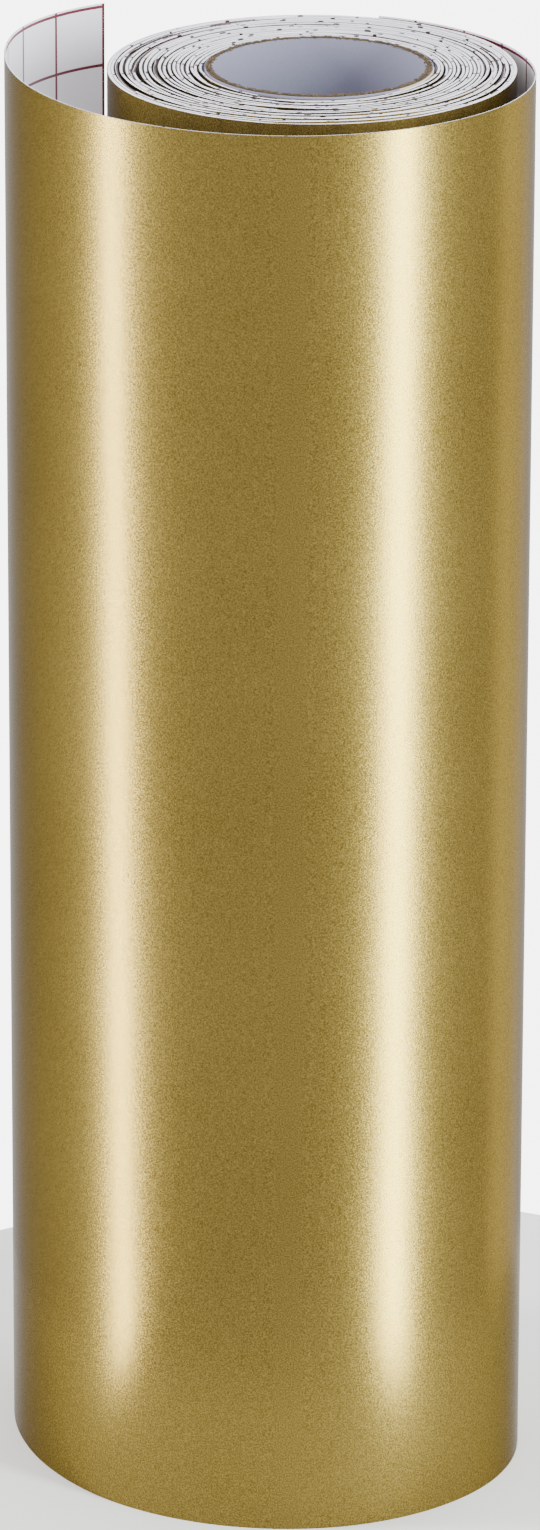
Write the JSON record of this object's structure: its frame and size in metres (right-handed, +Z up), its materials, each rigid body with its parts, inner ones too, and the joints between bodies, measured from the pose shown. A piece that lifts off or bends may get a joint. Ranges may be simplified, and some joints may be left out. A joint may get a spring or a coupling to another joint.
{
  "type": "roll of sign vinyl",
  "caption": "Roll of metallic gold self-adhesive vinyl on a paperboard core, with printed liner and a sprung outer lap that unrolls and peels.",
  "frame": {"origin": "centre of the core's bore at the end that the roll stands on", "axes": "+Z up along the core's axis; the loose lap runs past +X and the front (-Y) to its free edge at the back left"},
  "size_m": [0.1092, 0.1018, 0.305],
  "materials": {
    "core_paper": "uncoated paper",
    "core_board": "raw kraft board",
    "tape": "crepe tape",
    "liner_paper": "coated release paper with a printed square grid",
    "adhesive": "clear pressure-sensitive coat",
    "gold_film": "satin metallic gold vinyl"
  },
  "bodies": {
    "roll": {"core_inner_ply": "core_paper", "core_board": "core_board", "core_outer_ply": "core_paper", "starter_tape": "tape", "wound_liner": "liner_paper", "wound_adhesive": "adhesive", "wound_film": "gold_film", "outer_turn_liner": "liner_paper", "outer_turn_adhesive": "adhesive", "outer_turn_film": "gold_film"},
    "lap_1": {"lap_1_liner": "liner_paper", "lap_1_adhesive": "adhesive", "lap_1_film": "gold_film"},
    "lap_2": {"lap_2_liner": "liner_paper", "lap_2_adhesive": "adhesive", "lap_2_film": "gold_film"},
    "lap_3": {"lap_3_liner": "liner_paper", "lap_3_adhesive": "adhesive", "lap_3_film": "gold_film"},
    "lap_4": {"lap_4_liner": "liner_paper", "lap_4_adhesive": "adhesive", "lap_4_film": "gold_film"},
    "lap_5": {"lap_5_liner": "liner_paper", "lap_5_adhesive": "adhesive", "lap_5_film": "gold_film"},
    "lap_6": {"lap_6_adhesive": "adhesive", "lap_6_film": "gold_film"},
    "peeled_liner": {"lap_6_liner": "liner_paper"}
  },
  "joints": [
    {"name": "lap_lift", "type": "hinge", "parent": "roll", "child": "lap_1", "pos_m": [0.02012, 0.03664, 0], "axis": [0, 0, 1], "range_deg": [0, 10], "stiffness_Nm_per_rad": 0.02},
    {"name": "lap_unroll", "type": "hinge", "parent": "lap_1", "child": "lap_2", "pos_m": [0.04362, 0.00302, 0], "axis": [0, 0, 1], "range_deg": [-2, 15], "stiffness_Nm_per_rad": 0.02},
    {"name": "lap_bend_3", "type": "hinge", "parent": "lap_2", "child": "lap_3", "pos_m": [0.03365, -0.03379, 0], "axis": [0, 0, 1], "range_deg": [-2, 15], "stiffness_Nm_per_rad": 0.02},
    {"name": "lap_bend_4", "type": "hinge", "parent": "lap_3", "child": "lap_4", "pos_m": [-0.00583, -0.05199, 0], "axis": [0, 0, 1], "range_deg": [-2, 15], "stiffness_Nm_per_rad": 0.02},
    {"name": "lap_bend_5", "type": "hinge", "parent": "lap_4", "child": "lap_5", "pos_m": [-0.0494, -0.03135, 0], "axis": [0, 0, 1], "range_deg": [-2, 15], "stiffness_Nm_per_rad": 0.02},
    {"name": "lap_bend_6", "type": "hinge", "parent": "lap_5", "child": "lap_6", "pos_m": [-0.0636, 0.02335, 0], "axis": [0, 0, 1], "range_deg": [-2, 15], "stiffness_Nm_per_rad": 0.02},
    {"name": "liner_peel", "type": "hinge", "parent": "lap_6", "child": "peeled_liner", "pos_m": [-0.0636, 0.02335, 0], "axis": [0, 0, -1], "range_deg": [0, 20]}
  ],
  "couplings": [
    {"joint": "lap_bend_3", "follows": "lap_unroll", "ratio": 1},
    {"joint": "lap_bend_4", "follows": "lap_unroll", "ratio": 1},
    {"joint": "lap_bend_5", "follows": "lap_unroll", "ratio": 1},
    {"joint": "lap_bend_6", "follows": "lap_unroll", "ratio": 1}
  ]
}
